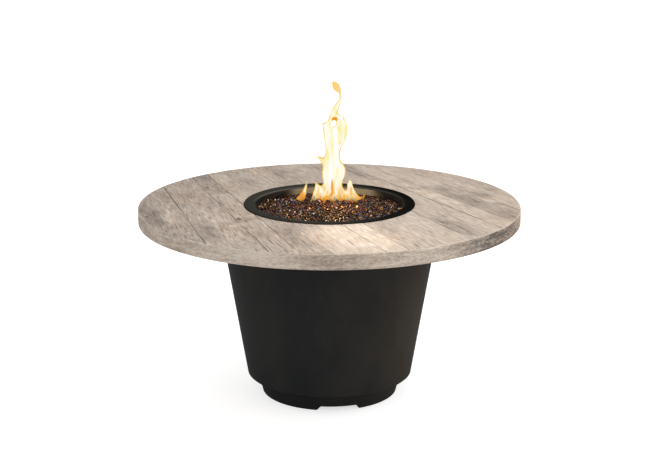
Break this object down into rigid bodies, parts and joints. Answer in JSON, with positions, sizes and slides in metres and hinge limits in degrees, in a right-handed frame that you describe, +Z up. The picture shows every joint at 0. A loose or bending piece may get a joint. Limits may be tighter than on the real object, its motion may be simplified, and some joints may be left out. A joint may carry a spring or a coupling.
{
  "type": "round fire pit table",
  "caption": "Round concrete fire table: plank-relief top with a drop-in fire pan and glass, on a tapered black pedestal with a rear access door, gas valve and igniter.",
  "frame": {"origin": "on the floor under the middle of the table", "axes": "+Z up, -Y towards the front, the access door and controls face +Y"},
  "size_m": [1.2188, 1.219, 0.6265],
  "materials": {
    "plank_concrete": "matte weathered plank relief",
    "black_concrete": "satin black sealed concrete",
    "rim_black": "satin black",
    "pan_steel": "satin",
    "fire_glass": "crushed, glossy",
    "stainless": "brushed",
    "braid": "braided",
    "zinc_steel": "zinc plated",
    "brass": "turned",
    "black_steel": "satin black powder coat",
    "magnet": "ground",
    "gasket_rubber": "matte",
    "knob_plastic": "satin",
    "button_plastic": "gloss",
    "cell_jacket": "gloss",
    "lead_rubber": "matte",
    "ceramic": "glazed",
    "copper": "drawn"
  },
  "bodies": {
    "table": {"table_top": "plank_concrete", "pedestal": "black_concrete", "plinth": "black_concrete", "pan_rim": "rim_black", "fire_pan": "pan_steel", "fire_glass": "fire_glass", "control_plate": "stainless", "plate_screws": "stainless", "burner_ring": "stainless", "burner_nipple": "stainless", "spark_rod": "stainless", "igniter_collar": "stainless", "hose_ferrules": "stainless", "gas_hose": "braid", "top_bolts": "zinc_steel", "top_washers": "zinc_steel", "plinth_bolts": "zinc_steel", "plinth_washers": "zinc_steel", "stop_screws": "zinc_steel", "hinge_pins": "zinc_steel", "pan_locknuts": "zinc_steel", "valve_nut": "zinc_steel", "collar_nut": "zinc_steel", "electrode_nut": "zinc_steel", "thermocouple_nut": "zinc_steel", "top_anchors": "brass", "plinth_anchors": "brass", "air_mixer": "brass", "burner_elbow": "brass", "hose_nuts": "brass", "gas_valve": "brass", "inlet_fitting": "brass", "door_stop": "black_steel", "hinge_frame_leaves": "black_steel", "hinge_frame_screws": "black_steel", "catch_magnets": "magnet", "bedding_gasket": "gasket_rubber", "rim_gasket": "gasket_rubber", "igniter_module": "knob_plastic", "igniter_cell": "cell_jacket", "ignition_lead": "lead_rubber", "spark_insulator": "ceramic", "thermocouple": "copper", "thermocouple_lead": "copper"},
    "door": {"access_door": "black_concrete", "hinge_door_leaves": "black_steel", "hinge_door_screws": "black_steel", "door_pull": "black_steel", "pull_screw": "zinc_steel", "strike_plates": "zinc_steel"},
    "knob": {"gas_knob": "knob_plastic", "valve_stem": "brass"},
    "button": {"igniter_button": "button_plastic"}
  },
  "joints": [
    {"name": "door_hinge", "type": "hinge", "parent": "table", "child": "door", "pos_m": [-0.1235, 0.2737, 0.22336], "axis": [0, 0.1827, 0.9832], "range_deg": [0, 110]},
    {"name": "knob_turn", "type": "hinge", "parent": "table", "child": "knob", "pos_m": [0.031, 0.3225, 0.43158], "axis": [0, 0.9861, -0.1663], "range_deg": [-90, 0]},
    {"name": "button_press", "type": "slide", "parent": "table", "child": "button", "axis": [0, -0.9861, 0.1663], "range_m": [0, 0.005], "stiffness_N_per_m": 400}
  ]
}
